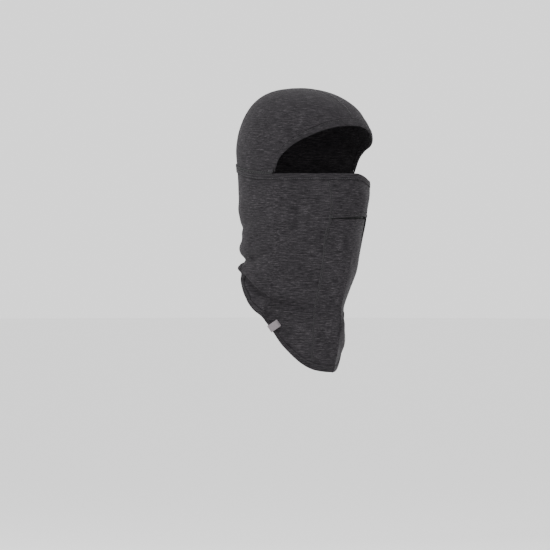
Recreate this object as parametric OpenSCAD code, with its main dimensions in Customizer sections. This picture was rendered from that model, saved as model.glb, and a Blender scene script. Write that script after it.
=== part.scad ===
// Hinged balaclava in heather knit: a two-piece hood, a neck tube whose front is a
// pull-down face mask, an overlapped mouth vent and a bib that ends in a rounded point.
// +Z is up, -Y is the front, and the origin is where the crown rests on the head.
// Every "drop" is a distance down from the origin. Angles run round the head from the
// front: 0 is the nose, 180 is the nape, and a negative angle is the wearer's right.

/* [Head] */
// Height of the domed crown, from its top to its widest ring
crown_height = 80; // [74:1:86]
// Half the width of the hood at its widest ring
half_width = 79; // [75:1:83]
// Distance from the ear line to the forehead
front_reach = 103; // [98:1:108]
// Distance from the ear line to the back of the head
back_reach = 103; // [98:1:108]

/* [Openings] */
// Drop of the brow edge at the forehead
brow_drop = 50; // [44:1:56]
// Drop of the mask's top edge, and of the eye opening's two corners
mask_drop = 116; // [110:1:122]
// how much lower the brow and the mask sit on the wearer's left, as it is worn
left_sag = 11; // [0:0.5:12]
// Drop of the hinge seam at the back of the head
nape_seam_drop = 101; // [96:1:106]
// Angle of the eye opening's corners
corner_angle = 79; // [76:1:82]
// Drop of the flap's lower edge, over the mouth
vent_drop = 177; // [172:1:182]
// Angle of the two front seams, which end the mouth vent
front_seam_angle = 34; // [32:1:38]
// Depth of the mouth vent behind the flap
vent_depth = 5; // [3:0.5:7]

/* [Neck and bib] */
// Drop of the bottom hem at the front point
front_hem_drop = 388; // [376:1:394]
// Drop of the bottom hem at the nape
back_hem_drop = 246; // [242:1:250]
// Drop of the fold where the bib turns out from the neck, at the front
fold_drop = 300; // [294:1:306]

/* [Fabric] */
// Thickness of one layer of knit
knit = 1.5; // [1.2:0.1:1.8]
// Thickness of a turned hem, two layers
hem_thick = 2.6; // [2.2:0.1:3]
// Width of the brow hem and the mask's top hem
hem_width = 9; // [7:0.5:11]
// Width of the bottom hem
bottom_hem_width = 9; // [7:0.5:11]
// Width of a flatlock seam
seam_width = 5; // [4:0.5:6]

/* [Hidden] */

knit_colour = [0.23, 0.22, 0.23];
hem_colour = [0.20, 0.20, 0.21];
thread_colour = [0.14, 0.14, 0.15];
mesh_colour = [0.04, 0.04, 0.045];
label_colour = [0.52, 0.49, 0.52];

gap = 0.2;            // clear space between panels that a seam joins
gap_angle = 0.15;     // the same space, as an angle round the head
seam_lift = 0.5;      // clear space between a thread and the knit under it
thread_thick = 0.6;
stitch_width = 0.9;
stitch_pitch = 3.2;   // between the two rows of a twin-needle hem
apex_angle = 1.2;     // the crown seam covers the crown inside this angle
crown_fullness = 0.83;  // power of the crown's profile: 1 is an ellipse, less is fuller
apex_shift = 13;      // the crown's top lies this far behind the ear line
apex_shift_end = 55;  // drop at which that shift has died out
side_angle = 112;     // where the still nape panel begins
bib_angle = 107;      // where the bib runs out into the bottom hem
hem_flare = 8;        // the back of the bottom hem stands out this far from the neck

// Ring shapes below the crown: drop, half width, front reach, back reach, the power of
// the front curve (2 is an ellipse, 1 a straight-sided wedge), and the ring's centre,
// which is how far behind the ear line the front and the back halves meet.
rings = [
    [crown_height, half_width, front_reach, back_reach, 2.0, 0],
    [102, half_width, front_reach, back_reach - 0.5, 1.95, 0],
    [122, half_width - 1.5, front_reach + 1, back_reach - 2, 1.75, 0],
    [146, half_width - 2.5, front_reach + 8, back_reach - 3, 1.55, 0],
    [166, half_width - 4, front_reach + 7, back_reach - 4, 1.46, 0],
    [184, half_width - 5, front_reach + 1, back_reach - 5, 1.52, 0],
    [204, half_width - 6.5, front_reach - 9, back_reach - 5, 1.62, 0],
    [226, half_width - 8, front_reach - 13, back_reach - 6, 1.55, 0],
    [250, half_width - 8, front_reach - 19, back_reach - 7, 1.5, 0],
    [275, half_width - 5, front_reach - 24, back_reach - 11, 1.26, 3],
    [300, half_width - 2, front_reach - 25, back_reach - 18, 1.1, 9],
    [330, half_width - 2, front_reach - 28, back_reach - 18, 1.08, 10],
    [360, half_width - 3, front_reach - 31, back_reach - 18, 1.08, 10],
    [395, half_width - 4, front_reach - 43, back_reach - 18, 1.08, 10]
];

// The bottom hem: an angle from the front, and how far down the hem is there, as a share
// of the way from its drop at the nape to its drop at the front point.
hem_points = [
    [0, 1], [28, 0.98], [42, 0.91], [57, 0.745], [66, 0.6], [72, 0.53], [95, 0.405],
    [108, 0.265], [126, 0.05], [150, 0], [180, 0]
];

// The brow's edge: an angle as a share of the corner's, and how far down the edge is there,
// as a share of the way from its drop at the front to the mask's.
brow_points = [
    [0, 0.03], [0.19, 0.036], [0.38, 0.086], [0.57, 0.2], [0.76, 0.376],
    [0.86, 0.523], [0.95, 0.727], [1, 1]
];

// A column of a table as a smooth curve through its rows, at x in the first column.
function row_below(table, x, i = 0) =
    i >= len(table) - 2 || x < table[i + 1][0] ? i : row_below(table, x, i + 1);
function smooth(table, x, column) =
    let (
        i = row_below(table, x),
        a = table[max(i - 1, 0)], b = table[i],
        c = table[i + 1], d = table[min(i + 2, len(table) - 1)],
        step = c[0] - b[0], s = (x - b[0]) / step,
        slope_b = (c[column] - a[column]) / (c[0] - a[0]) * step,
        slope_c = (d[column] - b[column]) / (d[0] - b[0]) * step
    )
    (2 * s ^ 3 - 3 * s ^ 2 + 1) * b[column] + (s ^ 3 - 2 * s ^ 2 + s) * slope_b
    + (3 * s ^ 2 - 2 * s ^ 3) * c[column] + (s ^ 3 - s ^ 2) * slope_c;
function ring_value(drop, column) = smooth(rings, drop, column);

// A level is an angle down the crown, up to 90, and then millimetres below it.
function level(drop) =
    drop < crown_height ? acos(1 - drop / crown_height) : drop - crown_height + 90;
function drop_at(level) =
    level < 90 ? crown_height * (1 - cos(level)) : level - 90 + crown_height;

// An angle round the head, measured from the front on either side.
function from_front(angle) = abs(angle) > 180 ? 360 - abs(angle) : abs(angle);

// A point of the garment at an angle round the head and a level, lifted off its inside.
function at(angle, level, lift) =
    let (
        drop = drop_at(level),
        dome = level < 90,
        shrink = dome ? sin(level) ^ crown_fullness : 1,
        a = from_front(angle),
        reach = a < 90 ? 2 : 3,
        ring = dome ? crown_height : drop,
        out = lift + hem_flare * ease((drop - 232) / 16) * ease((a - 88) / 26),
        wide = (ring_value(ring, 1) + out) * shrink,
        deep = (ring_value(ring, reach) + out) * shrink,
        power = ring_value(ring, 4),
        bend = 2 / (power + (2 - power) * ease((a - 68) / 22)),
        crown_shift = apex_shift * max(1 - drop / apex_shift_end, 0) ^ 2,
        centre = crown_shift + ring_value(ring, 5)
    )
    [
        sign(sin(angle)) * wide * abs(sin(a)) ^ bend,
        centre - sign(cos(a)) * deep * abs(cos(a)) ^ bend,
        dome ? (crown_height + lift) * cos(level) - crown_height : -drop
    ];

// Edges and folds, each a drop at an angle.
function ease(x) = let (s = min(max(x, 0), 1)) s * s * (3 - 2 * s);
brow_edge = function (a)
    brow_drop + (mask_drop - brow_drop) * smooth(brow_points, abs(a) / corner_angle, 1)
        + left_sag * ease(a / 45) * (1 - ease((a - 48) / 31));
mask_edge = function (a)
    mask_drop + left_sag * ease((a + 6) / 40) * (1 - ease((a - 40) / 36));
hinge_edge = function (a)
    nape_seam_drop + (mask_drop - nape_seam_drop)
        * (1 - ease((from_front(a) - corner_angle) / 95));
hinge_band_foot = function (a) hinge_edge(a) + hem_width;
flap_edge = function (a) vent_drop - 3 * cos(90 * a / front_seam_angle) ^ 2;
hem_edge = function (a)
    back_hem_drop + (front_hem_drop - back_hem_drop) * smooth(hem_points, from_front(a), 1);
fold_edge = function (a) fold_drop - 38 * ease((from_front(a) - 65) / 60);
above_fold = function (a) fold_edge(a) - gap;
panel_foot = function (a) hem_edge(a) - bottom_hem_width - 3 * gap;

// How far the chin panel sits behind the flap: deepest at the middle, gone at the jaw.
chin_lift = function (a, level)
    -(knit + 0.6 + vent_depth * cos(90 * a / front_seam_angle) ^ 2)
        * (1 - ease((drop_at(level) - vent_drop - 4) / 46));

// A closed sheet between two edges, from one lift to another, over a span of angles.
module sheet(angles, top, foot, lifts, steps, extra = function (a, l) 0) {
    across = steps[0];
    down = steps[1];
    columns = across + 1;
    layer = columns * (down + 1);
    grid = [
        for (lift = lifts) for (j = [0:down]) for (i = [0:across])
            let (
                a = angles[0] + (angles[1] - angles[0]) * i / across,
                l = level(top(a)) + (level(foot(a)) - level(top(a))) * j / down
            )
            at(a, l, lift + extra(a, l))
    ];
    function index(i, j, side) = side * layer + j * columns + i;
    skins = [
        for (side = [0, 1]) for (j = [0:down - 1]) for (i = [0:across - 1])
            let (
                p = index(i, j, side), q = index(i + 1, j, side),
                r = index(i + 1, j + 1, side), s = index(i, j + 1, side)
            )
            each side == 1 ? [[p, q, r], [p, r, s]] : [[p, r, q], [p, s, r]]
    ];
    ends = [
        for (j = [0:down - 1]) for (i = [0, across])
            let (
                p = index(i, j, 0), q = index(i, j, 1),
                r = index(i, j + 1, 1), s = index(i, j + 1, 0)
            )
            each i == 0 ? [[p, q, r], [p, r, s]] : [[p, r, q], [p, s, r]]
    ];
    edges = [
        for (i = [0:across - 1]) for (j = [0, down])
            let (
                p = index(i, j, 0), q = index(i + 1, j, 0),
                r = index(i + 1, j, 1), s = index(i, j, 1)
            )
            each j == 0 ? [[p, q, r], [p, r, s]] : [[p, r, q], [p, s, r]]
    ];
    polyhedron(points = grid, faces = concat(skins, ends, edges), convexity = 6);
}

// The same sheet on the wearer's right (-1) or left (1).
module side_sheet(side, angles, top, foot, lifts, steps) {
    if (side > 0) sheet(angles, top, foot, lifts, steps);
    else mirror([1, 0, 0]) sheet(angles, top, foot, lifts, steps);
}

// Twin rows of thread that follow an edge at two distances from it.
module twin_rows(angles, edge, first, lifts, steps) {
    for (row = [0, 1])
        sheet(
            angles,
            function (a) edge(a) + first + row * stitch_pitch,
            function (a) edge(a) + first + row * stitch_pitch + stitch_width,
            lifts, [steps, 1]
        );
}

on_knit = [knit + seam_lift, knit + seam_lift + thread_thick];
on_hem = [hem_thick + seam_lift, hem_thick + seam_lift + thread_thick];

// ---- Hood ----

module hood_half(side) {
    color(knit_colour)
        side_sheet(
            side, [0.4, 179.6],
            function (a) drop_at(apex_angle),
            function (a) a < corner_angle
                ? brow_edge(side * a) - hem_width - 3 * gap
                : min(hinge_edge(a) - gap, brow_edge(corner_angle) - gap
                      - (hem_width) * (1 - ease((a - corner_angle) / 6))),
            [0, knit], [60, 12]
        );
}
module hood_right() { hood_half(-1); }
module hood_left() { hood_half(1); }

// A flatlock seam over the crown, from the brow hem back to the hinge seam.
module crown_seam() {
    front_level = level(brow_edge(0) - hem_width - 1);
    back_level = level(hinge_edge(180) - seam_width);
    count = 26;
    path = [
        for (i = [0:count])
            let (turn = -front_level + (front_level + back_level) * i / count)
            [turn < 0 ? 0 : 180, abs(turn)]
    ];
    half = seam_width / 2;
    corners = [
        for (p = path) for (c = [[-half, 0], [half, 0], [half, 1], [-half, 1]])
            let (q = at(p[0], max(p[1], 0.01), on_knit[c[1]])) [c[0], q[1], q[2]]
    ];
    walls = [
        for (i = [0:count - 1]) for (k = [0:3])
            let (
                p = 4 * i + k, q = 4 * i + (k + 1) % 4,
                r = 4 * (i + 1) + (k + 1) % 4, s = 4 * (i + 1) + k
            )
            each [[p, q, r], [p, r, s]]
    ];
    caps = [[3, 2, 1], [3, 1, 0], [for (k = [0, 1, 2]) 4 * count + k], [for (k = [0, 2, 3]) 4 * count + k]];
    color(thread_colour)
        polyhedron(points = corners, faces = concat(walls, caps), convexity = 6);
}

module brow_hem() {
    color(hem_colour)
        sheet(
            [-corner_angle, corner_angle],
            function (a) brow_edge(a) - hem_width,
            function (a) brow_edge(a) - gap,
            [0, hem_thick], [64, 1]
        );
}

module brow_stitches() {
    color(thread_colour)
        twin_rows([-corner_angle + 2, corner_angle - 2], function (a) brow_edge(a),
                  -hem_width + 1, on_hem, 32);
}

// Two short bars of thread where the hood ends on the mask's top hem.
module corner_bartacks() {
    color(thread_colour)
        for (side = [-1, 1])
            side_sheet(
                side, [corner_angle + 1, corner_angle + 6],
                function (a) mask_drop - 4.5, function (a) mask_drop - 2,
                [knit + seam_lift, knit + seam_lift + 1], [2, 1]
            );
}

// The flatlock seam that hangs the neck tube from the hood, round the back of the head.
module hinge_seam() {
    color(thread_colour)
        for (side = [-1, 1])
            side_sheet(
                side, [corner_angle + 1, 180],
                function (a) hinge_edge(a) - 1.2, function (a) hinge_edge(a) + 1.2,
                on_hem, [22, 1]
            );
}

// The tube's turned top hem behind the corners, where it is sewn to the hood.
module hinge_band() {
    color(hem_colour)
        for (side = [-1, 1])
            side_sheet(
                side, [corner_angle + 2, 180],
                function (a) hinge_edge(a) + gap, hinge_band_foot,
                [0, hem_thick], [20, 1]
            );
}

// ---- Neck tube and bib ----

module nape_panel() {
    color(knit_colour)
        sheet(
            [side_angle + gap_angle, 360 - side_angle - gap_angle],
            function (a) hinge_band_foot(a) + gap, panel_foot, [0, knit], [20, 8]
        );
}

// Behind each cheek: this stretch of the tube gathers when the mask is pulled down.
module side_wall(side) {
    color(knit_colour)
        side_sheet(
            side, [corner_angle + gap_angle, side_angle - gap_angle],
            function (a) hinge_band_foot(a) + gap,
            function (a) min(above_fold(a), panel_foot(a)),
            [0, knit], [7, 8]
        );
}
module side_right() { side_wall(-1); }
module side_left() { side_wall(1); }

module jaw(side) {
    color(knit_colour)
        side_sheet(
            side, [front_seam_angle + gap_angle, corner_angle - gap_angle],
            function (a) vent_drop + gap, above_fold,
            [0, knit], [6, 6]
        );
}
module jaw_right() { jaw(-1); }
module jaw_left() { jaw(1); }

// The lower front panel as far as the fold. Its top edge is tucked up behind the flap.
module chin_panel() {
    color(knit_colour)
        sheet(
            [-front_seam_angle + gap_angle, front_seam_angle - gap_angle],
            function (a) vent_drop - 6, above_fold,
            [0, knit], [12, 9], chin_lift
        );
}

module bib_front() {
    color(knit_colour)
        sheet(
            [-front_seam_angle + gap_angle, front_seam_angle - gap_angle],
            fold_edge, panel_foot, [0, knit], [10, 5]
        );
}

module bib_side(side) {
    color(knit_colour)
        side_sheet(
            side, [front_seam_angle + gap_angle, bib_angle],
            fold_edge, panel_foot, [0, knit], [14, 4]
        );
}
module bib_right() { bib_side(-1); }
module bib_left() { bib_side(1); }

// A vertical flatlock seam on both front seam lines, between two drops.
module front_seams(top, foot, steps) {
    half = 1.7;
    color(thread_colour)
        for (side = [-1, 1])
            side_sheet(side, [front_seam_angle - half, front_seam_angle + half],
                       function (a) top(side * a), foot, on_knit, [1, steps]);
}
module mask_seams() {
    front_seams(function (a) mask_edge(a) + hem_width + 0.6, function (a) vent_drop - 5, 4);
}
module chin_seams() {
    front_seams(function (a) vent_drop + 1, function (a) fold_edge(a) - 1, 12);
}
module bib_seams() {
    front_seams(function (a) fold_edge(a) + 1, function (a) panel_foot(a) - 0.6, 5);
}

module bottom_hem() {
    color(hem_colour)
        for (side = [-1, 1])
            side_sheet(
                side, [0, 180],
                function (a) hem_edge(a) - bottom_hem_width, hem_edge,
                [0, hem_thick], [45, 1]
            );
}

module bottom_stitches() {
    color(thread_colour)
        for (side = [-1, 1])
            side_sheet(
                side, [0, 180],
                function (a) hem_edge(a) - bottom_hem_width + 1.4,
                function (a) hem_edge(a) - bottom_hem_width + 1.4 + stitch_width,
                on_hem, [45, 1]
            );
}

// A woven tab folded over the bottom hem on the wearer's right.
label_angles = [-72, -64];
label_lap = 15;
module hem_label() {
    color(label_colour)
        sheet(
            label_angles,
            function (a) hem_edge(a) - label_lap, function (a) hem_edge(a) + 0.6,
            [hem_thick + 1.6, hem_thick + 2.2], [3, 3]
        );
}

// A printed care label that hangs inside from the hinge seam at the nape.
module care_label() {
    color(label_colour)
        sheet(
            [172, 188], function (a) nape_seam_drop + 4, function (a) nape_seam_drop + 39,
            [-1.2, -0.7], [4, 3]
        );
}

// ---- Face mask ----

mask_end_angle = corner_angle - 0.5;
module mask_top_hem() {
    color(hem_colour)
        sheet([-mask_end_angle, mask_end_angle], mask_edge,
              function (a) mask_edge(a) + hem_width, [0, hem_thick], [44, 1]);
}

module mask_top_stitches() {
    color(thread_colour)
        twin_rows([-mask_end_angle + 1, mask_end_angle - 1], mask_edge,
                  hem_width - stitch_pitch - stitch_width - 1, on_hem, 44);
}

// The upper front panel, whose free lower edge is the flap over the mouth.
module nose_panel() {
    color(knit_colour)
        sheet(
            [-front_seam_angle + gap_angle, front_seam_angle - gap_angle],
            function (a) mask_edge(a) + hem_width + gap, function (a) flap_edge(a) - 5,
            [0, knit], [12, 5]
        );
}

module cheek(side) {
    color(knit_colour)
        side_sheet(
            side, [front_seam_angle + gap_angle, mask_end_angle],
            function (a) mask_edge(side * a) + hem_width + gap, function (a) vent_drop,
            [0, knit], [7, 5]
        );
}
module cheek_right() { cheek(-1); }
module cheek_left() { cheek(1); }

// The flap's lower edge, turned in and stitched.
module vent_hem() {
    color(hem_colour)
        sheet(
            [-front_seam_angle + 1.8, front_seam_angle - 1.8],
            function (a) flap_edge(a) - 5 + gap, flap_edge, [0, knit + 0.8], [12, 1]
        );
}

// Black mesh behind the flap, which closes the vent and lets breath through.
module vent_mesh() {
    color(mesh_colour)
        sheet(
            [-front_seam_angle + 3, front_seam_angle - 3],
            function (a) flap_edge(a) - 18, function (a) flap_edge(a) - 7.5,
            [-1.1, -0.5], [12, 2]
        );
}

// A short bar of thread at each end of the mouth vent.
module vent_bartacks() {
    color(thread_colour)
        for (side = [-1, 1])
            side_sheet(
                side, [front_seam_angle - 1.3, front_seam_angle + 1.3],
                function (a) vent_drop - 4.4, function (a) vent_drop - 0.6,
                [knit + 1, knit + 2], [1, 2]
            );
}

hood_right();
hood_left();
crown_seam();
brow_hem();
brow_stitches();
corner_bartacks();
hinge_seam();
hinge_band();
nape_panel();
side_right();
side_left();
jaw_right();
jaw_left();
chin_panel();
bib_front();
bib_right();
bib_left();
bib_seams();
chin_seams();
bottom_hem();
bottom_stitches();
hem_label();
care_label();
mask_top_hem();
mask_top_stitches();
nose_panel();
cheek_right();
cheek_left();
mask_seams();
vent_hem();
vent_mesh();
vent_bartacks();
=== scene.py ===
"""The looks of the hinged balaclava, built over its CAD frame.

Shapes are in millimetres until they become meshes. The wearer faces -Y with +Z up and the
origin at the top of the head. An angle runs round the head from the front, negative on the
wearer's right, and a drop is a distance down from the origin, as in the CAD.
"""

import math

import bpy
import numpy as np
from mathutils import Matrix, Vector


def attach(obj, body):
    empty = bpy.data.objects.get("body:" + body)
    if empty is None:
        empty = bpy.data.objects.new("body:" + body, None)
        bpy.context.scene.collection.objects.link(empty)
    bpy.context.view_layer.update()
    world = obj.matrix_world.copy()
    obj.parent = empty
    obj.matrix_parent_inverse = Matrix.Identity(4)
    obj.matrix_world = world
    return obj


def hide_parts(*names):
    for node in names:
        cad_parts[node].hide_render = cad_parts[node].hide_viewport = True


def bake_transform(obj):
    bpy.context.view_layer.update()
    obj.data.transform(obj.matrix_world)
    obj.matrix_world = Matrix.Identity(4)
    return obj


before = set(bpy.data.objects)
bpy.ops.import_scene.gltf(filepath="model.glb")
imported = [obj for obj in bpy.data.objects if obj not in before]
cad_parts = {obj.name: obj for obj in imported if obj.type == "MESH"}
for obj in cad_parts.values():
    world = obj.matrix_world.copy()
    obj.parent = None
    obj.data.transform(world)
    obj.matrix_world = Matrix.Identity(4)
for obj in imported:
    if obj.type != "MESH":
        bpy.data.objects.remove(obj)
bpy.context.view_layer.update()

# ---- Sizes, in millimetres and degrees ----

CROWN = 80.0  # height of the dome from its widest ring to its top
HALF_WIDTH, REACH = 79.0, 103.0
CROWN_FULLNESS = 0.83  # power of the dome's profile: 1 is an ellipse, less is fuller
CORNER = 79.0  # angle of the eye opening's corners
SEAM_ANGLE = 34.0  # angle of the two front seams
VENT_DROP = 177.0
MASK_DROP = 116.0
LEFT_SAG = 11.0  # how much lower the eye opening's edges sit on the wearer's left
BROW_DROP = 50.0
NAPE_SEAM_DROP = 101.0
HEM_BACK, HEM_FRONT = 246.0, 388.0
FOLD_DROP = 300.0
KNIT = 1.5
HEM_THICK = 2.6
HEM_WIDTH = 9.0
DEGREE = 1.45  # millimetres of cloth to a degree round the head, near enough

# Drop, half width, front reach, back reach, power of the front curve, and ring centre.
RINGS = np.array(
    [
        [80, HALF_WIDTH, REACH, REACH, 2.0, 0],
        [102, HALF_WIDTH, REACH, REACH - 0.5, 1.95, 0],
        [122, HALF_WIDTH - 1.5, REACH + 1, REACH - 2, 1.75, 0],
        [146, HALF_WIDTH - 2.5, REACH + 8, REACH - 3, 1.55, 0],
        [166, HALF_WIDTH - 4, REACH + 7, REACH - 4, 1.46, 0],
        [184, HALF_WIDTH - 5, REACH + 1, REACH - 5, 1.52, 0],
        [204, HALF_WIDTH - 6.5, REACH - 9, REACH - 5, 1.62, 0],
        [226, HALF_WIDTH - 8, REACH - 13, REACH - 6, 1.55, 0],
        [250, HALF_WIDTH - 8, REACH - 19, REACH - 7, 1.5, 0],
        [275, HALF_WIDTH - 5, REACH - 24, REACH - 11, 1.26, 3],
        [300, HALF_WIDTH - 2, REACH - 25, REACH - 18, 1.1, 9],
        [330, HALF_WIDTH - 2, REACH - 28, REACH - 18, 1.08, 10],
        [360, HALF_WIDTH - 3, REACH - 31, REACH - 18, 1.08, 10],
        [395, HALF_WIDTH - 4, REACH - 43, REACH - 18, 1.08, 10],
    ]
)
BROW_POINTS = np.array(
    [
        [0, 0.03],
        [0.19, 0.036],
        [0.38, 0.086],
        [0.57, 0.2],
        [0.76, 0.376],
        [0.86, 0.523],
        [0.95, 0.727],
        [1, 1],
    ]
)
HEM_POINTS = np.array(
    [
        [0, 1],
        [28, 0.98],
        [42, 0.91],
        [57, 0.745],
        [66, 0.6],
        [72, 0.53],
        [95, 0.405],
        [108, 0.265],
        [126, 0.05],
        [150, 0],
        [180, 0],
    ]
)

# Folds in the worn cloth: the points a fold runs through as (angle, drop, height), where a
# minus height is a valley, and the width across it. A fold fades out past its ends.
FOLDS = [
    # the bib's fold at the foot of the neck, deepest at the nape
    (
        [
            (-126, 247, -4.0),
            (-111, 260, -5.2),
            (-95, 281, -5.2),
            (-68, 292, -4.6),
            (-46, 298, -3.2),
            (-30, 303, -1.2),
        ],
        4.5,
    ),
    ([(-120, 252, -1.6), (-96, 280, -2.8), (-68, 292, -2.8), (-44, 298, -1.6)], 2.6),
    ([(-118, 246, 3.0), (-100, 264, 3.2), (-66, 279, 2.8), (-36, 289, 1.2)], 7),
    ([(-100, 288, 1.8), (-68, 300, 2.8), (-30, 311, 1.8)], 4.5),
    ([(118, 256, -3.0), (95, 281, -4.2), (66, 293, -3.4), (44, 299, -1.6)], 5),
    ([(114, 246, 1.6), (84, 274, 2.4), (50, 286, 1.0)], 8),
    # deep folds where the cloth stacks up behind the neck
    ([(-166, 235, -4.6), (-140, 234, -5.6), (-108, 232, -5.4), (-90, 225, -1.2)], 6),
    ([(-170, 222, 2.4), (-120, 216, 3.2), (-100, 210, 1.0)], 9),
    ([(-165, 196, -3.0), (-116, 183, -3.4), (-94, 175, -1.0)], 7),
    ([(-165, 172, 1.4), (-125, 160, 1.8)], 9),
    ([(108, 230, -3.4), (140, 235, -5.4), (166, 237, -4.6)], 6),
    ([(120, 214, 2.6), (172, 222, 3.0)], 9),
    ([(112, 186, -1.8), (160, 192, -3.0)], 8),
    ([(-176, 206, -1.8), (-138, 204, -2.2)], 7),
    ([(138, 204, -2.2), (176, 206, -1.8)], 7),
    ([(-176, 248, -3.4), (-124, 250, -3.0)], 8),
    ([(124, 250, -3.0), (176, 248, -3.4)], 8),
    # long soft pulls from the nape towards the chin
    ([(-106, 208, -2.2), (-60, 184, -1.6)], 9),
    ([(-100, 224, 2.0), (-56, 204, 1.7), (-46, 186, 1.2)], 8),
    ([(-66, 246, -1.7), (-48, 222, -1.2)], 9),
    ([(-92, 246, 1.6), (-60, 262, 1.4)], 8),
    ([(-84, 262, -1.2), (-50, 274, -1.2)], 7),
    ([(64, 246, -1.6), (46, 222, -1.2)], 10),
    ([(100, 212, -2.0), (58, 192, -1.4)], 10),
    ([(92, 232, 1.8), (56, 210, 1.4)], 9),
    ([(84, 258, -1.3), (52, 272, -1.0)], 9),
    # the front, over the chin and on the bib, whose left corner turns out
    ([(24, 324, 7.5), (36, 346, 7.5)], 15),
    ([(5, 306, -2.4), (9, 348, -2.4)], 5),
    ([(-24, 232, -1.2), (-8, 262, -1.2)], 9),
    ([(10, 236, -1.1), (26, 262, -1.1)], 9),
    ([(-60, 318, 1.2), (-30, 332, 1.2)], 9),
    ([(-50, 342, -0.9), (-22, 356, -0.9)], 9),
    # the mask
    ([(-76, 140, -0.9), (-52, 150, -0.9)], 8),
    ([(-30, 140, -0.7), (-14, 168, -0.7)], 8),
    ([(74, 142, -0.9), (48, 152, -0.9)], 8),
    ([(-100, 138, -1.4), (-82, 160, -1.2)], 9),
    ([(100, 140, -1.3), (84, 162, -1.1)], 9),
]
HOOD_FOLDS = [
    ([(-74, 30, 1.0), (-52, 41, 1.0)], 6),
    ([(-60, 24, 0.8), (-48, 36, 0.8)], 5),
    ([(-46, 44, -1.1), (-28, 38, -1.1)], 5),
    ([(-36, 30, -0.9), (-22, 40, -0.9)], 5),
    ([(-64, 46, -0.7), (-44, 52, -0.7)], 7),
    ([(-132, 62, -0.8), (-104, 92, -0.8)], 10),
    ([(-150, 80, 0.8), (-120, 100, 0.8)], 9),
    ([(30, 38, -0.9), (48, 46, -0.9)], 6),
    ([(62, 34, 0.8), (80, 46, 0.8)], 7),
    ([(118, 66, -0.8), (140, 92, -0.8)], 10),
    ([(-104, 96, -0.8), (-84, 108, -0.8)], 8),
    ([(104, 96, -0.8), (84, 108, -0.8)], 8),
]


# ---- The shape of the worn cloth ----


def ease(x):
    s = np.clip(x, 0, 1)
    return s * s * (3 - 2 * s)


def smooth(table, x):
    """Each column of a table as a smooth curve through its rows, at x in the first column."""
    x = np.clip(np.asarray(x, float), table[0, 0], table[-1, 0])
    i = np.clip(np.searchsorted(table[:, 0], x, side="right") - 1, 0, len(table) - 2)
    a, b = table[np.maximum(i - 1, 0)], table[i]
    c, d = table[i + 1], table[np.minimum(i + 2, len(table) - 1)]
    step = (c - b)[:, :1]
    s = (x[:, None] - b[:, :1]) / step
    slope_b = (c - a) / (c - a)[:, :1] * step
    slope_c = (d - b) / (d - b)[:, :1] * step
    return (
        (2 * s**3 - 3 * s**2 + 1) * b
        + (s**3 - 2 * s**2 + s) * slope_b
        + (3 * s**2 - 2 * s**3) * c
        + (s**3 - s**2) * slope_c
    )


def from_front(angle):
    a = np.abs(angle)
    return np.where(a > 180, 360 - a, a)


def signed(angle):
    """The same angle from -180 to 180, so that a minus is the wearer's right."""
    return np.where(np.asarray(angle) > 180, angle - 360.0, angle)


def level(drop):
    """Degrees down the dome, up to 90, and then millimetres below its widest ring."""
    drop = np.asarray(drop, float)
    on_dome = np.degrees(np.arccos(np.clip(1 - drop / CROWN, -1, 1)))
    return np.where(drop < CROWN, on_dome, drop - CROWN + 90)


def drop_at(lv):
    return np.where(lv < 90, CROWN * (1 - np.cos(np.radians(lv))), lv - 90 + CROWN)


def surface(angle, lv, lift):
    """Points of the garment, lifted off its inside. The arguments are flat arrays."""
    a = from_front(angle)
    dome = lv < 90
    drop = drop_at(lv)
    ring = smooth(RINGS, np.where(dome, CROWN, drop))
    flare = 8 * ease((drop - 232) / 16) * ease((a - 88) / 26)
    shrink = np.where(dome, np.abs(np.sin(np.radians(lv))) ** CROWN_FULLNESS, 1)
    wide = (ring[:, 1] + lift + flare) * shrink
    deep = (np.where(a < 90, ring[:, 2], ring[:, 3]) + lift + flare) * shrink
    bend = 2 / (ring[:, 4] + (2 - ring[:, 4]) * ease((a - 68) / 22))
    centre = 13 * np.maximum(1 - drop / 55, 0) ** 2 + ring[:, 5]
    s, c = np.sin(np.radians(a)), np.cos(np.radians(a))
    side = np.sign(np.sin(np.radians(angle)))
    return np.stack(
        [
            side * wide * np.abs(s) ** bend,
            centre - np.sign(c) * deep * np.abs(c) ** bend,
            np.where(dome, (CROWN + lift) * np.cos(np.radians(lv)) - CROWN, -drop),
        ],
        axis=1,
    )


def folds(strokes, angle, drop):
    """How far the folds lift the cloth at each place."""
    p = np.stack([signed(angle) * DEGREE, drop], axis=1)
    total = np.zeros(len(p))
    for points, width in strokes:
        nearest = np.full(len(p), np.inf)
        height = np.zeros(len(p))
        for start, end in zip(points, points[1:]):
            a = np.array([start[0] * DEGREE, start[1]])
            d = np.array([end[0] * DEGREE, end[1]]) - a
            t = np.clip(((p - a) @ d) / (d @ d), 0, 1)
            off = np.linalg.norm(p - a - t[:, None] * d, axis=1)
            closer = off < nearest
            height[closer] = (start[2] + (end[2] - start[2]) * t)[closer]
            nearest[closer] = off[closer]
        total += height * np.exp(-((nearest / width) ** 2))
    return total


def brow_edge(a):
    a = signed(np.atleast_1d(a))
    share = smooth(BROW_POINTS, np.abs(a) / CORNER)[:, 1]
    sag = LEFT_SAG * ease(a / 45) * (1 - ease((a - 48) / 31))
    return BROW_DROP + (MASK_DROP - BROW_DROP) * share + sag


def mask_edge(a):
    a = signed(a)
    return MASK_DROP + LEFT_SAG * ease((a + 6) / 40) * (1 - ease((a - 40) / 36))


def hinge_edge(a):
    rise = ease((from_front(a) - CORNER) / 95)
    return NAPE_SEAM_DROP + (MASK_DROP - NAPE_SEAM_DROP) * (1 - rise)


def tube_edge(a):
    """The tube's top edge all the way round."""
    return np.where(from_front(a) < CORNER, mask_edge(a), hinge_edge(a))


def flap_edge(a):
    return VENT_DROP - 3 * np.cos(np.radians(90 * a / SEAM_ANGLE)) ** 2


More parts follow.
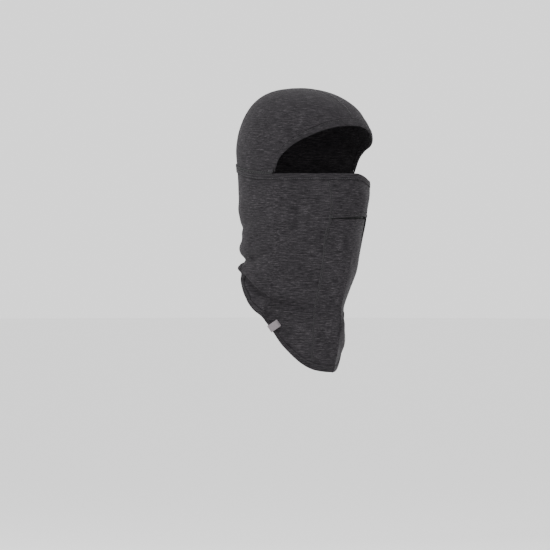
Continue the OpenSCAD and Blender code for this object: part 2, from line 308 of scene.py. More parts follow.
def hem_edge(a):
    share = smooth(HEM_POINTS, from_front(np.atleast_1d(a)))[:, 1]
    return HEM_BACK + (HEM_FRONT - HEM_BACK) * share


def tube_lift(a, drop):
    """Folds of the tube, which die out at its top hem."""
    return folds(FOLDS, a, drop) * ease((drop - tube_edge(a)) / 24)


def hood_lift(a, drop):
    return folds(HOOD_FOLDS, a, drop)


def tucked_lift(a, drop):
    """The lower front panel lies behind the flap, and comes out to the cheeks by the jaw."""
    depth = KNIT + 0.6 + 5 * np.cos(np.radians(90 * a / SEAM_ANGLE)) ** 2
    return tube_lift(a, drop) - depth * (1 - ease((drop - VENT_DROP - 4) / 46))


# ---- Meshes ----


def mesh_object(name, points_mm, faces, material, uv=None):
    mesh = bpy.data.meshes.new(name)
    mesh.from_pydata((np.asarray(points_mm) / 1000).tolist(), [], faces)
    mesh.polygons.foreach_set("use_smooth", [True] * len(mesh.polygons))
    if uv is not None:
        layer = mesh.uv_layers.new(name="cloth")
        corner = np.zeros(len(mesh.loops), np.int32)
        mesh.loops.foreach_get("vertex_index", corner)
        layer.data.foreach_set("uv", (np.asarray(uv)[corner] / 1000).ravel())
    mesh.validate()
    mesh.update()
    piece = bpy.data.objects.new(name, mesh)
    bpy.context.collection.objects.link(piece)
    piece.data.materials.append(material)
    return piece


def span(start, end, step):
    """Angles from start to end, packed close together at the ends for a rounded edge."""
    inner = np.linspace(start, end, max(2, int(abs(end - start) / step) + 1))
    near = np.array([0, 0.06, 0.25, 0.55, 1.0]) * 0.75 / DEGREE
    inner = inner[(inner > start + near[-1] * 1.3) & (inner < end - near[-1] * 1.3)]
    return np.concatenate([start + near, inner, (end - near)[::-1]])


def end_round(columns, closed):
    """How thick the cloth is at each column, as a share, so that its ends are rounded."""
    if closed:
        return np.ones(len(columns))
    near = np.minimum(columns - columns[0], columns[-1] - columns) * DEGREE / 0.75
    return 0.12 + 0.88 * np.sqrt(1 - (1 - np.clip(near, 0, 1)) ** 2)


def cloth(
    name, columns, top, foot, rows, inner, outer, lift, material, closed=False, puff=None
):
    """A sheet of cloth with two faces and rounded edges, between two drops."""
    columns = np.asarray(columns, float)
    n = len(columns)
    top_l, foot_l = level(top(columns)), level(foot(columns))
    half = (outer - inner) / 2
    middle = (outer + inner) / 2
    unit = np.where(top_l < 90, math.degrees(1 / CROWN), 1.0)
    top_in, foot_in = top_l + half * unit, foot_l - half
    share = np.linspace(0, 1, rows + 1)
    turn = np.radians([60, 30, 0, -30, -60])
    along, lifts, bulge = [], [], []
    for t in share:
        along.append(top_in + (foot_in - top_in) * t)
        lifts.append(half)
        bulge.append(puff(t) if puff else 0)
    for q in turn:
        along.append(foot_in + half * math.cos(q))
        lifts.append(half * math.sin(q))
        bulge.append(0)
    for t in share[::-1]:
        along.append(top_in + (foot_in - top_in) * t)
        lifts.append(-half)
        bulge.append(0)
    for q in turn:
        along.append(top_in - half * unit * math.cos(q))
        lifts.append(-half * math.sin(q))
        bulge.append(0)
    k = len(along)
    lv = np.stack(along, axis=1).ravel()
    lv = np.maximum(lv, 0.3)
    ang = np.repeat(columns, k)
    drop = drop_at(lv)
    rounding = np.repeat(end_round(columns, closed), k)
    across = np.tile(np.array(lifts), n) * rounding + np.tile(np.array(bulge), n)
    points = surface(ang, lv, middle + across + lift(ang, drop))
    faces = []
    for i in range(n if closed else n - 1):
        a, b = i * k, ((i + 1) % n) * k
        for j in range(k):
            q = (j + 1) % k
            faces.append((a + j, a + q, b + q, b + j))
    if not closed:
        faces.append(tuple(range(k - 1, -1, -1)))
        faces.append(tuple(range((n - 1) * k, n * k)))
    return mesh_object(name, points, faces, material, cloth_uv(points, ang, lv))


def cloth_uv(points, ang, lv):
    """Where each point lies on the flat knit, in millimetres: courses run along u."""
    x, y, z = points.T
    high = z + CROWN
    radius = np.hypot(high, x)
    over = radius * np.arctan2(high, np.abs(x))
    on_dome = high > 0
    v = np.where(on_dome, over, high)
    a = signed(ang)
    u = np.where(
        on_dome, np.sign(x) * 260 + REACH * np.arcsin(np.clip(y / 106, -1, 1)), a * DEGREE
    )
    return np.stack([u, v], axis=1)


def places(angle, drop, lift):
    """Points on the cloth, and the way out of it at each of them."""
    angle, drop = np.asarray(angle, float), np.asarray(drop, float)
    lv = level(drop)
    p, q = surface(angle, lv, lift), surface(angle, lv, lift + 1.0)
    out = q - p
    return p, out / np.linalg.norm(out, axis=1)[:, None]


def threads(name, starts, ends, outs, radius, material, arch=0.25, sides=6):
    """Short stitches of thread, each a rounded bar that dips into the cloth at its ends."""
    t = np.array([0, 0.12, 0.35, 0.65, 0.88, 1.0])
    girth = np.array([0.35, 0.85, 1, 1, 0.85, 0.35])
    points, faces = [], []
    k = len(t) * sides
    for n, (a, b, out) in enumerate(zip(starts, ends, outs)):
        along = (b - a) / max(np.linalg.norm(b - a), 1e-6)
        across = np.cross(along, out)
        across /= max(np.linalg.norm(across), 1e-6)
        up = np.cross(across, along)
        base = n * k
        for i, s in enumerate(t):
            centre = a + (b - a) * s + up * (arch * 4 * s * (1 - s) - arch)
            for j in range(sides):
                q = 2 * math.pi * j / sides
                points.append(
                    centre
                    + radius * girth[i] * (math.cos(q) * across + math.sin(q) * up)
                )
        for i in range(len(t) - 1):
            for j in range(sides):
                m = (j + 1) % sides
                p0, p1 = base + i * sides, base + (i + 1) * sides
                faces.append((p0 + j, p0 + m, p1 + m, p1 + j))
        faces.append(tuple(base + j for j in range(sides - 1, -1, -1)))
        faces.append(tuple(base + k - sides + j for j in range(sides)))
    return mesh_object(name, points, faces, material)


def even(angle, drop, lift, step):
    """The same path again with points an even step apart along the cloth."""
    p, _ = places(angle, drop, lift)
    run = np.concatenate([[0], np.cumsum(np.linalg.norm(np.diff(p, axis=0), axis=1))])
    s = np.arange(0, run[-1], step)
    return np.interp(s, run, angle), np.interp(s, run, drop)


def stitch_rows(name, rows, relief, material, pitch=3.0, share=0.78, radius=0.42):
    """Rows of straight stitches. Each row is a path of angles and drops, and its lift."""
    starts, ends, outs = [], [], []
    for angle, drop, lift in rows:
        a, d = even(angle, drop, lift, pitch * share / 4)
        ll = lift + relief(a, d)
        p, out = places(a, d, ll)
        run = np.concatenate([[0], np.cumsum(np.linalg.norm(np.diff(p, axis=0), axis=1))])
        first = np.arange(0, run[-1] - pitch, pitch)
        s = np.stack([np.interp(first, run, p[:, k]) for k in range(3)], axis=1)
        e = np.stack(
            [np.interp(first + pitch * share, run, p[:, k]) for k in range(3)], axis=1
        )
        o = np.stack([np.interp(first, run, out[:, k]) for k in range(3)], axis=1)
        starts.append(s)
        ends.append(e)
        outs.append(o)
    return threads(
        name,
        np.concatenate(starts),
        np.concatenate(ends),
        np.concatenate(outs),
        radius,
        material,
    )


def flatlock(name, paths, relief, material, width=3.2, pitch=2.1, radius=0.36):
    """A flatlock seam: a zigzag of thread over the join, between two rows of loops."""
    starts, ends, outs = [], [], []
    for angle, drop, lift in paths:
        a, d = even(angle, drop, lift, pitch / 2)
        p, out = places(a, d, lift + relief(a, d))
        along = np.gradient(p, axis=0)
        along /= np.linalg.norm(along, axis=1)[:, None]
        across = np.cross(along, out)
        half = across * width / 2
        swing = np.where(np.arange(len(p)) % 2 == 0, 1, -1)[:, None] * half
        zigzag = p + swing
        starts.append(zigzag[:-1])
        ends.append(zigzag[1:])
        outs.append(out[:-1])
        for side in (-1, 1):
            q = p[::2] + side * half[::2]
            starts.append(q[:-1])
            ends.append(q[1:] - along[::2][:-1] * 0.3)
            outs.append(out[::2][:-1])
    return threads(
        name,
        np.concatenate(starts),
        np.concatenate(ends),
        np.concatenate(outs),
        radius,
        material,
        arch=0.12,
        sides=5,
    )


# ---- Materials ----


def nodes_of(name):
    """A new material with only an output and a Principled shader."""
    material = bpy.data.materials.new(name)
    material.use_nodes = True
    tree = material.node_tree
    tree.nodes.clear()
    out = tree.nodes.new("ShaderNodeOutputMaterial")
    shader = tree.nodes.new("ShaderNodeBsdfPrincipled")
    tree.links.new(shader.outputs["BSDF"], out.inputs["Surface"])
    return material, tree, shader


def node(tree, kind, **values):
    """A new node with each value set on its property, or else on its input, of that name."""
    made = tree.nodes.new(kind)
    for key, value in values.items():
        if hasattr(made, key):
            setattr(made, key, value)
        else:
            made.inputs[key].default_value = value
    return made


def scaled(tree, source, scale):
    """The cloth's own coordinates, in metres, stretched by a scale on each axis."""
    product = node(tree, "ShaderNodeVectorMath", operation="MULTIPLY")
    tree.links.new(source.outputs["UV"], product.inputs[0])
    product.inputs[1].default_value = scale
    return product


def noise(tree, source, scale, detail=2.0, roughness=0.55):
    texture = node(tree, "ShaderNodeTexNoise", Scale=1.0, Detail=detail, Roughness=roughness)
    tree.links.new(scaled(tree, source, scale).outputs[0], texture.inputs["Vector"])
    return texture


def maths(tree, operation, a, b):
    made = node(tree, "ShaderNodeMath", operation=operation)
    for i, value in enumerate((a, b)):
        if hasattr(value, "outputs"):
            tree.links.new(value.outputs[0], made.inputs[i])
        elif value is not None:
            made.inputs[i].default_value = value
    return made


def ramp(tree, source, stops):
    made = node(tree, "ShaderNodeValToRGB")
    band = made.color_ramp
    while len(band.elements) < len(stops):
        band.elements.new(0.5)
    for element, (place, colour) in zip(band.elements, stops):
        element.position = place
        element.color = (*colour, 1)
    tree.links.new(source.outputs[0], made.inputs["Fac"])
    return made


def heather_knit(name, tone=1.0):
    """Charcoal melange jersey: uneven slubs along the courses, flecks, and fine stitches."""
    material, tree, shader = nodes_of(name)
    place = node(tree, "ShaderNodeUVMap", uv_map="cloth")
    slub = noise(tree, place, (85, 760, 1), 2.5, 0.65)
    fine = noise(tree, place, (240, 1150, 1), 2.0, 0.65)
    fleck = noise(tree, place, (900, 1000, 1), 1.0, 0.5)
    cloud = noise(tree, place, (22, 34, 1), 2.0, 0.5)
    mixed = maths(
        tree,
        "ADD",
        maths(tree, "MULTIPLY", slub, 0.44),
        maths(tree, "MULTIPLY", fine, 0.30),
    )
    mixed = maths(tree, "ADD", mixed, maths(tree, "MULTIPLY", fleck, 0.18))
    mixed = maths(tree, "ADD", mixed, maths(tree, "MULTIPLY", cloud, 0.08))
    dark, mid, light, pale = (
        tuple(c * tone for c in colour)
        for colour in (
            (0.0038, 0.0034, 0.0041),
            (0.0136, 0.0123, 0.0142),
            (0.0268, 0.0245, 0.0272),
            (0.0760, 0.0700, 0.0755),
        )
    )
    colour = ramp(tree, mixed, [(0.38, dark), (0.47, mid), (0.545, light), (0.66, pale)])
    tree.links.new(colour.outputs["Color"], shader.inputs["Base Color"])
    wale = node(tree, "ShaderNodeTexWave", wave_type="BANDS", bands_direction="X", Scale=1.0)
    course = node(tree, "ShaderNodeTexWave", wave_type="BANDS", bands_direction="Y", Scale=1.0)
    wale.inputs["Distortion"].default_value = 0.6
    course.inputs["Distortion"].default_value = 0.8
    stitch = scaled(tree, place, (278, 330, 1))
    tree.links.new(stitch.outputs[0], wale.inputs["Vector"])
    tree.links.new(stitch.outputs[0], course.inputs["Vector"])
    loops = maths(tree, "MULTIPLY", wale, course)
    height = maths(
        tree, "ADD", maths(tree, "MULTIPLY", loops, 0.5), maths(tree, "MULTIPLY", slub, 0.9)
    )
    height = maths(tree, "ADD", height, maths(tree, "MULTIPLY", fleck, 0.35))
    bump = node(tree, "ShaderNodeBump", Strength=0.55, Distance=0.0005)
    tree.links.new(height.outputs[0], bump.inputs["Height"])
    tree.links.new(bump.outputs["Normal"], shader.inputs["Normal"])
    rough = node(tree, "ShaderNodeMapRange")
    rough.inputs["To Min"].default_value = 0.78
    rough.inputs["To Max"].default_value = 0.97
    tree.links.new(fine.outputs[0], rough.inputs["Value"])
    tree.links.new(rough.outputs[0], shader.inputs["Roughness"])
    shader.inputs["Specular IOR Level"].default_value = 0.12
    shader.inputs["Sheen Weight"].default_value = 0.06
    shader.inputs["Sheen Roughness"].default_value = 0.45
    shader.inputs["Sheen Tint"].default_value = (0.75, 0.72, 0.76, 1)
    return material


def object_noise(tree, scale, detail=2.0):
    place = node(tree, "ShaderNodeTexCoord")
    texture = node(tree, "ShaderNodeTexNoise", Scale=scale, Detail=detail, Roughness=0.6)
    tree.links.new(place.outputs["Object"], texture.inputs["Vector"])
    return texture


def thread_material(name, dark, light):
    material, tree, shader = nodes_of(name)
    fibre = object_noise(tree, 1400, 3)
    colour = ramp(tree, fibre, [(0.35, dark), (0.65, light)])
    tree.links.new(colour.outputs["Color"], shader.inputs["Base Color"])
    bump = node(tree, "ShaderNodeBump", Strength=0.5, Distance=0.0002)
    tree.links.new(fibre.outputs[0], bump.inputs["Height"])
    tree.links.new(bump.outputs["Normal"], shader.inputs["Normal"])
    shader.inputs["Roughness"].default_value = 0.72
    shader.inputs["Specular IOR Level"].default_value = 0.3
    shader.inputs["Sheen Weight"].default_value = 0.15
    return material


def net_and_slit_shade_material(name):
    """Fine black netting: small pits between glossy threads. Its near-black colour is partly painted shade, standing
    in for the shade in the slit under the flap.
    """
    material, tree, shader = nodes_of(name)
    place = node(tree, "ShaderNodeUVMap", uv_map="cloth")
    cells = node(tree, "ShaderNodeTexVoronoi", Scale=1.0, Randomness=0.15)
    tree.links.new(scaled(tree, place, (620, 620, 1)).outputs[0], cells.inputs["Vector"])
    # painted shade: the net's near-black ramp also darkens the slit under the flap, where the flap casts shade
    colour = ramp(
        tree, cells, [(0.15, (0.0015, 0.0015, 0.0018)), (0.5, (0.010, 0.010, 0.011))]
    )
    tree.links.new(colour.outputs["Color"], shader.inputs["Base Color"])
    bump = node(tree, "ShaderNodeBump", Strength=0.8, Distance=0.0004)
    tree.links.new(cells.outputs["Distance"], bump.inputs["Height"])
    tree.links.new(bump.outputs["Normal"], shader.inputs["Normal"])
    shader.inputs["Roughness"].default_value = 0.6
    shader.inputs["Specular IOR Level"].default_value = 0.2
    return material


def label_material(name, dark, light):
    """A woven tape: a close crosswise weave with a slight sheen."""
    material, tree, shader = nodes_of(name)
    place = node(tree, "ShaderNodeUVMap", uv_map="cloth")
    weft = noise(tree, place, (500, 3200, 1), 2.0)
    warp = noise(tree, place, (3000, 400, 1), 2.0)
    weave = maths(
        tree, "ADD", maths(tree, "MULTIPLY", weft, 0.6), maths(tree, "MULTIPLY", warp, 0.4)
    )
    colour = ramp(tree, weave, [(0.35, dark), (0.65, light)])
    tree.links.new(colour.outputs["Color"], shader.inputs["Base Color"])
    bump = node(tree, "ShaderNodeBump", Strength=0.6, Distance=0.0002)
    tree.links.new(weave.outputs[0], bump.inputs["Height"])
    tree.links.new(bump.outputs["Normal"], shader.inputs["Normal"])
    shader.inputs["Roughness"].default_value = 0.55
    shader.inputs["Sheen Weight"].default_value = 0.2
    return material


KNIT_CLOTH = heather_knit("heather_knit")
HEM_CLOTH = heather_knit("heather_knit_hem", tone=0.88)
THREAD = thread_material("thread", (0.006, 0.006, 0.007), (0.016, 0.015, 0.017))
SEAM_THREAD = thread_material("seam_thread", (0.010, 0.009, 0.011), (0.022, 0.020, 0.023))
# the vent net, whose black also serves as painted shade in the slit under the flap
NET_AND_SLIT_SHADE = net_and_slit_shade_material("vent_net_and_slit_shade")
TAPE = label_material("woven_tape", (0.115, 0.099, 0.109), (0.18, 0.157, 0.17))
CARE_TAPE = label_material("care_tape", (0.42, 0.41, 0.40), (0.60, 0.59, 0.57))


# ---- Hood ----


def flat(value):
    return lambda a: np.full(len(a), float(value))


def hood_foot(a):
    b = from_front(a)
    brow = brow_edge(a) - HEM_WIDTH - 0.2
    notch = HEM_WIDTH * (1 - ease((b - CORNER) / 1.2))
    behind = np.minimum(hinge_edge(b) - 0.2, MASK_DROP - 0.2 - notch)
    return np.where(b < CORNER, brow, behind)


hood = {}
for side, end in ((-1, "right"), (1, "left")):
    columns = span(0.12, 179.88, 2.0)
    if side < 0:
        columns = -columns[::-1]
    hood[side] = cloth(
        "hood_half_" + end, columns, flat(0.0008), hood_foot, 46, 0, KNIT, hood_lift, KNIT_CLOTH
    )
    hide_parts("hood_" + end)
    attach(hood[side], "hood")


def crown_path():
    """The join over the crown as angle and drop, from the brow to the hinge seam."""
    front = np.linspace(float(level(brow_edge(np.zeros(1)) - HEM_WIDTH - 1)[0]), 1.0, 60)
    back = np.linspace(1.0, float(level(hinge_edge(np.full(1, 180.0)) - 2)[0]), 110)
    angle = np.concatenate([np.zeros(60), np.full(110, 180.0)])
    return angle, np.concatenate([drop_at(front), drop_at(back)])


def strip(name, angle, drop, width, inner, outer, relief, material):
    """A flat strip of cloth along a path."""
    p, out = places(angle, drop, inner + relief(angle, drop))
    q, _ = places(angle, drop, outer + relief(angle, drop))
    along = np.gradient(p, axis=0)
    across = np.cross(along, out)
    across /= np.linalg.norm(across, axis=1)[:, None]
    half = width / 2
    inset = half * 0.8
    ring = [p - across * half, q - across * inset, q + across * inset, p + across * half]
    points = np.stack(ring, axis=1).reshape(-1, 3)
    faces = [
        (4 * i + j, 4 * i + (j + 1) % 4, 4 * i + 4 + (j + 1) % 4, 4 * i + 4 + j)
        for i in range(len(p) - 1)
        for j in range(4)
    ]
    last = 4 * (len(p) - 1)
    faces += [(3, 2, 1, 0), (last, last + 1, last + 2, last + 3)]
    run = np.concatenate([[0], np.cumsum(np.linalg.norm(np.diff(p, axis=0), axis=1))])
    uv = np.stack([np.repeat(run, 4), np.tile([0, 1, 1 + width, 2 + width], len(p))], axis=1)
    return mesh_object(name, points, faces, material, uv)


crown_angle, crown_drop = crown_path()
crown_backing = strip(
    "crown_seam_tape", crown_angle, crown_drop, 6, -0.7, -0.05, hood_lift, HEM_CLOTH
)
crown_thread = flatlock(
    "crown_flatlock", [(crown_angle, crown_drop, KNIT + 0.15)], hood_lift, SEAM_THREAD
)
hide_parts("crown_seam")
for piece in (crown_backing, crown_thread):
    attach(piece, "hood")

brow_columns = span(-CORNER, CORNER, 1.6)
brow = cloth(
    "brow_turned_hem",
    brow_columns,
    lambda a: brow_edge(a) - HEM_WIDTH,
    lambda a: brow_edge(a) - 0.2,
    8,
    0,
    HEM_THICK,
    hood_lift,
    HEM_CLOTH,
    puff=lambda t: 0.2 * math.sin(math.pi * t) - 0.15 * math.exp(-(((t - 0.15) / 0.09) ** 2)),
)
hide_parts("brow_hem")
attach(brow, "hood")
path = np.linspace(-CORNER + 2, CORNER - 2, 240)
brow_stitches = stitch_rows(
    "brow_twin_stitches",
    [(path, brow_edge(path) - HEM_WIDTH + off, HEM_THICK - 0.05) for off in (1.3, 4.2)],
    hood_lift,
    THREAD,
)
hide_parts("brow_stitches")
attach(brow_stitches, "hood")

# ---- Neck tube and mask ----


def across_joint(piece):
    """Bakes the piece's placing into its mesh, and leaves it unparented, tied neither to the hood nor to the mask."""
    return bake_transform(piece)


top_hem = cloth(
    "tube_top_hem",
    np.linspace(-180, 180, 241)[:-1],
    tube_edge,
    lambda a: tube_edge(a) + HEM_WIDTH,
    9,
    0,
    HEM_THICK,
    lambda a, d: np.zeros(len(a)),
    HEM_CLOTH,
    closed=True,
    puff=lambda t: 0.3 * math.sin(math.pi * t) - 0.35 * math.exp(-(((t - 0.8) / 0.1) ** 2)),
)
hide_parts("mask_top_hem", "hinge_band")
ring_path = np.linspace(-179.5, 179.5, 500)
top_stitches = stitch_rows(
    "tube_top_stitches",
    [(ring_path, tube_edge(ring_path) + off, HEM_THICK + 0.0) for off in (4.2, 7.4)],
    lambda a, d: np.zeros(len(a)),
    THREAD,
)
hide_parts("mask_top_stitches")


def below_hem(a):
    return tube_edge(a) + HEM_WIDTH + 0.15


def hem_foot(a):
    return hem_edge(a) - HEM_WIDTH - 0.3


wrap = cloth(
    "tube_wrap",
    span(SEAM_ANGLE + 0.12, 360 - SEAM_ANGLE - 0.12, 1.3),
    below_hem,
    hem_foot,
    112,
    0,
    KNIT,
    tube_lift,
    KNIT_CLOTH,
)
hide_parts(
    *("nape_panel", "side_right", "side_left", "jaw_right", "jaw_left"),
    *("bib_right", "bib_left", "cheek_right", "cheek_left"),
)

front_columns = span(-SEAM_ANGLE + 0.12, SEAM_ANGLE - 0.12, 1.2)
nose = cloth(
    "upper_front_panel",
    front_columns,
    below_hem,
    lambda a: flap_edge(a) - 4.8,
    26,
    0,
    KNIT,
    tube_lift,
    KNIT_CLOTH,
)
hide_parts("nose_panel")
front = cloth(
    "lower_front_panel",
    front_columns,
    flat(VENT_DROP + 1),
    hem_foot,
    96,
    0,
    KNIT,
    tucked_lift,
    KNIT_CLOTH,
)
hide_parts("chin_panel", "bib_front")

vent_hem = cloth(
    "flap_hem",
    span(-SEAM_ANGLE + 1.2, SEAM_ANGLE - 1.2, 1.2),
    lambda a: flap_edge(a) - 5.0,
    flap_edge,
    6,
    0,
    KNIT + 0.9,
    tube_lift,
    HEM_CLOTH,
    puff=lambda t: 0.2 * math.sin(math.pi * t),
)
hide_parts("vent_hem")


def net_lift(a, drop):
    """The net runs from the back of the flap in to the top of the lower front panel; as a dark sheet in the slit it is
    partly painted shade.
    """
    depth = KNIT + 1.6 + 5 * np.cos(np.radians(90 * a / SEAM_ANGLE)) ** 2
    return tube_lift(a, drop) - depth * ease((drop - 158) / 12)


# a dark sheet under the flap: partly the vent's net, partly painted shade for the slit
net = cloth(
    "vent_net_and_slit_shade",
    span(-SEAM_ANGLE + 2, SEAM_ANGLE - 2, 1.4),
    lambda a: flap_edge(a) - 18,
    flat(VENT_DROP + 5),
    16,
    -1.1,
    -0.5,
    net_lift,
    NET_AND_SLIT_SHADE,
)
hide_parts("vent_mesh")

seam_upper, seam_lower, seam_tapes = [], [], []
for side in (-1, 1):
    d = np.linspace(MASK_DROP + HEM_WIDTH + 1, VENT_DROP - 5, 60)
    seam_upper.append((np.full(60, side * SEAM_ANGLE), d, KNIT + 0.1))
    end = float(hem_edge(SEAM_ANGLE)[0]) - HEM_WIDTH - 0.6
    d = np.linspace(VENT_DROP + 0.5, end, 160)
    seam_lower.append((np.full(160, side * SEAM_ANGLE), d, KNIT + 0.1))
    d = np.linspace(MASK_DROP + HEM_WIDTH + 1, end, 200)
    seam_tapes.append(
        strip(
            "front_seam_tape_" + ("right" if side < 0 else "left"),
            np.full(200, side * SEAM_ANGLE),
            d,
            5.5,
            -0.75,
            -0.1,
            tube_lift,
            HEM_CLOTH,
        )
    )
mask_seams = flatlock("upper_front_seams", seam_upper, tube_lift, SEAM_THREAD)
lower_seams = flatlock("lower_front_seams", seam_lower, tube_lift, SEAM_THREAD)
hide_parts("mask_seams")
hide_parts("chin_seams", "bib_seams")

bar_start, bar_end, bar_out = [], [], []
for side in (-1, 1):
    for i in range(9):
        d = VENT_DROP - 4.2 + 0.5 * i
        a = np.array([side * SEAM_ANGLE - 1.5, side * SEAM_ANGLE + 1.5])
        p, out = places(a, np.full(2, d), KNIT + 0.9)
        bar_start.append(p[0])
        bar_end.append(p[1])
        bar_out.append(out[0])
vent_bars = threads("flap_bartacks", bar_start, bar_end, bar_out, 0.34, THREAD, arch=0.15)
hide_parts("vent_bartacks")
path = np.linspace(-SEAM_ANGLE + 3, SEAM_ANGLE - 3, 120)
vent_stitches = stitch_rows(
    "flap_stitches",
    [(path, flap_edge(path) - 3.9, KNIT + 0.95)],
    tube_lift,
    THREAD,
    pitch=2.7,
    radius=0.34,
)

blended = [top_hem, top_stitches, wrap, nose, front, vent_hem, net, *seam_tapes]
blended += [mask_seams, lower_seams, vent_bars, vent_stitches]



def hem_allowance(name, columns, edge, closed):
    """The turned-in edge of a hem on the inside, which also lies behind the hem's join."""
    return cloth(
        name,
        columns,
        lambda a: edge(a) - 3,
        lambda a: edge(a) + 3,
        3,
        -0.9,
        -0.15,
        tube_lift,
        HEM_CLOTH,
        closed=closed,
    )


around = np.linspace(-180, 180, 361)[:-1]
blended.append(
    hem_allowance("top_hem_allowance", around, lambda a: tube_edge(a) + HEM_WIDTH, True)
)
bottom_allowance = hem_allowance(
    "bottom_hem_allowance", around, lambda a: hem_edge(a) - HEM_WIDTH, True
)
brow_allowance = cloth(
    "brow_hem_allowance",
    span(-CORNER, CORNER, 1.6),
    lambda a: brow_edge(a) - HEM_WIDTH - 3,
    lambda a: brow_edge(a) - HEM_WIDTH + 3,
    3,
    -0.9,
    -0.15,
    hood_lift,
    HEM_CLOTH,
)

# ---- Hinge seam and corners ----

hinge_rows = []
for side in (-1, 1):
    a = side * np.linspace(CORNER + 1.5, 179.6, 260)
    hinge_rows.append((a, hinge_edge(a) - 0.4, HEM_THICK + 0.1))
hinge_thread = flatlock(
    "hinge_flatlock", hinge_rows, lambda a, d: np.zeros(len(a)), THREAD, width=2.6
)
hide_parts("hinge_seam")
hinge_tape = cloth(
    "hinge_seam_tape",
    np.linspace(CORNER + 2, 360 - CORNER - 2, 150),
    lambda a: hinge_edge(a) - 3,
    lambda a: hinge_edge(a) + 3,
    3,
    -0.8,
    -0.15,
    lambda a, d: np.zeros(len(a)),
    HEM_CLOTH,
)
bar_start, bar_end, bar_out = [], [], []
for side in (-1, 1):
    for i in range(8):
        a = np.array([side * (CORNER + 1.0), side * (CORNER + 6.0)])
        p, out = places(a, np.full(2, MASK_DROP - 4.4 + 0.36 * i), KNIT + 0.3)
        bar_start.append(p[0])
        bar_end.append(p[1])
        bar_out.append(out[0])
corner_bars = threads("corner_bars", bar_start, bar_end, bar_out, 0.3, SEAM_THREAD)
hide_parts("corner_bartacks")

# ---- Bottom hem and labels ----

bottom = cloth(
    "bottom_turned_hem",
    around,
    lambda a: hem_edge(a) - HEM_WIDTH,
    hem_edge,
    9,
    0,
    HEM_THICK,
    tube_lift,
    HEM_CLOTH,
    closed=True,
    puff=lambda t: 0.3 * math.sin(math.pi * t) - 0.3 * math.exp(-(((t - 0.2) / 0.1) ** 2)),
)
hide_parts("bottom_hem")
bottom_stitches = stitch_rows(
    "bottom_hem_stitches",
    [(ring_path, hem_edge(ring_path) - HEM_WIDTH + 1.8, HEM_THICK + 0.0)],
    tube_lift,
    THREAD,
)
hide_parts("bottom_stitches")


def folded_tab(name, angle, width, reach, thick, material):
    """A tape folded over the bottom hem, square to its edge, seen on both faces."""
    here = np.array([angle])
    nearby = np.array([angle - 1, angle + 1])
    edge, out = places(here, hem_edge(here), HEM_THICK / 2 + tube_lift(here, hem_edge(here)))
    ends, _ = places(nearby, hem_edge(nearby), HEM_THICK / 2)
    along = ends[1] - ends[0]
    along /= np.linalg.norm(along)
    out = out[0] - along * (out[0] @ along)
    out /= np.linalg.norm(out)
    down = np.cross(along, out)
    down *= -1 if down[2] > 0 else 1
    half = HEM_THICK / 2 + 0.55
    path = [(-reach, half + 0.1), (-reach * 0.6, half + 0.25), (-4, half + 0.15), (-0.5, half)]
    under = half / 2
    path += [(0.5 + under, half * 0.72), (0.8 + under, 0), (0.5 + under, -half * 0.72)]
    path += [(-0.5, -half), (-4, -half - 0.1), (-reach * 0.6, -half - 0.1), (-reach, -half)]
    path = np.array(path)
    way = np.gradient(path, axis=0)
    way /= np.linalg.norm(way, axis=1)[:, None]
    normal = np.stack([way[:, 1], -way[:, 0]], axis=1)
    points, uv = [], []
    steps = 7
    for k in range(steps):
        s = (k / (steps - 1) - 0.5) * width
        for layer in (0, 1):
            for j, (q, m) in enumerate(zip(path, normal)):
                r = q - m * thick * layer
                points.append(edge[0] + along * s + down * r[0] + out * r[1])
                uv.append((s, j * 3.0))
    n = len(path)
    faces = []
    for k in range(steps - 1):
        a, b = k * 2 * n, (k + 1) * 2 * n
        for j in range(n - 1):
            faces.append((a + j, a + j + 1, b + j + 1, b + j))
            faces.append((a + n + j, b + n + j, b + n + j + 1, a + n + j + 1))
        faces.append((a, b, b + n, a + n))
        faces.append((a + n - 1, a + 2 * n - 1, b + 2 * n - 1, b + n - 1))
    for k in (0, (steps - 1) * 2 * n):
        for j in range(n - 1):
            quad = (k + j, k + n + j, k + n + j + 1, k + j + 1)
            faces.append(quad if k == 0 else quad[::-1])
    return mesh_object(name, points, faces, material, uv)


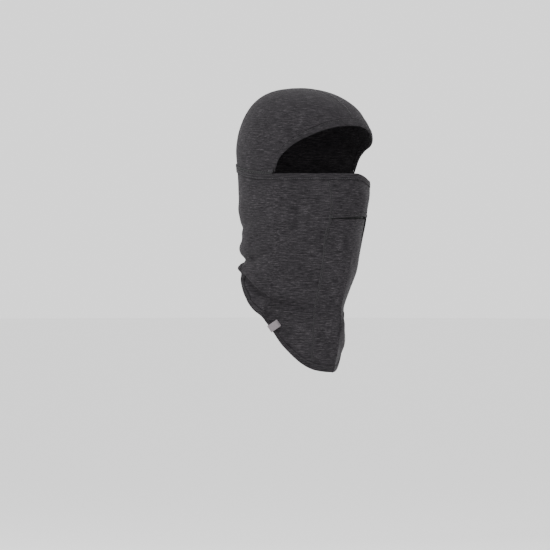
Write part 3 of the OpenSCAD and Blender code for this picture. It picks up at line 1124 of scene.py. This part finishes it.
label = folded_tab("hem_tab", -68, 10.5, 14.5, 0.5, TAPE)
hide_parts("hem_label")
care = cloth(
    "care_tab",
    np.linspace(172, 188, 13),
    flat(NAPE_SEAM_DROP + 4),
    flat(NAPE_SEAM_DROP + 39),
    14,
    -1.3,
    -0.8,
    lambda a, d: -1.2 * ease((d - 112) / 26) - 0.4 * np.sin((a - 172) / 16 * 7),
    CARE_TAPE,
)
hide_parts("care_label")

still = [bottom_allowance, brow_allowance, hinge_thread, hinge_tape, corner_bars, bottom, bottom_stitches, label, care]
for piece in still:
    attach(piece, "hood")
for piece in blended:
    across_joint(piece)

# ---- Floor, light and camera ----


def stage_material(name, colour):
    material, tree, shader = nodes_of(name)
    shader.inputs["Base Color"].default_value = (*colour, 1)
    shader.inputs["Roughness"].default_value = 0.9
    return material


bpy.ops.mesh.primitive_plane_add(size=90, location=(0, 0, -0.62))
floor = bpy.context.object
floor.name = "floor"
floor.data.materials.append(stage_material("pale_floor", (0.9, 0.9, 0.9)))

world = bpy.data.worlds.new("studio")
bpy.context.scene.world = world
world.use_nodes = True
world.node_tree.nodes["Background"].inputs["Color"].default_value = (1, 1, 1, 1)
world.node_tree.nodes["Background"].inputs["Strength"].default_value = 1.5

YAW = math.radians(-45)
BACK = np.array([math.sin(YAW), -math.cos(YAW), 0.0])
RIGHT = np.array([math.cos(YAW), math.sin(YAW), 0.0])
TARGET = np.array([-0.0286, 0.0286, -0.2545])
DISTANCE = 12.0  # far off with a long lens, so near and far parts keep one scale


def area_light(name, place, size, power):
    data = bpy.data.lights.new(name, "AREA")
    data.size, data.energy = size, power
    lamp = bpy.data.objects.new(name, data)
    bpy.context.collection.objects.link(lamp)
    lamp.location = place
    aim = Vector((0, 0, -0.18)) - Vector(place)
    lamp.rotation_euler = aim.to_track_quat("-Z", "Y").to_euler()


area_light("key", tuple(BACK * 1.3 - RIGHT * 1.7 + np.array([0, 0, 1.0])), 1.4, 26)
area_light("fill", tuple(BACK * 2.2 + RIGHT * 0.9 + np.array([0, 0, 0.1])), 1.4, 18)

camera_data = bpy.data.cameras.new("camera")
camera_data.sensor_width = 36
camera_data.lens = 573.2
camera = bpy.data.objects.new("camera", camera_data)
bpy.context.collection.objects.link(camera)
camera.location = TARGET + BACK * DISTANCE
camera.rotation_euler = (math.radians(90), 0, YAW)
bpy.context.scene.camera = camera
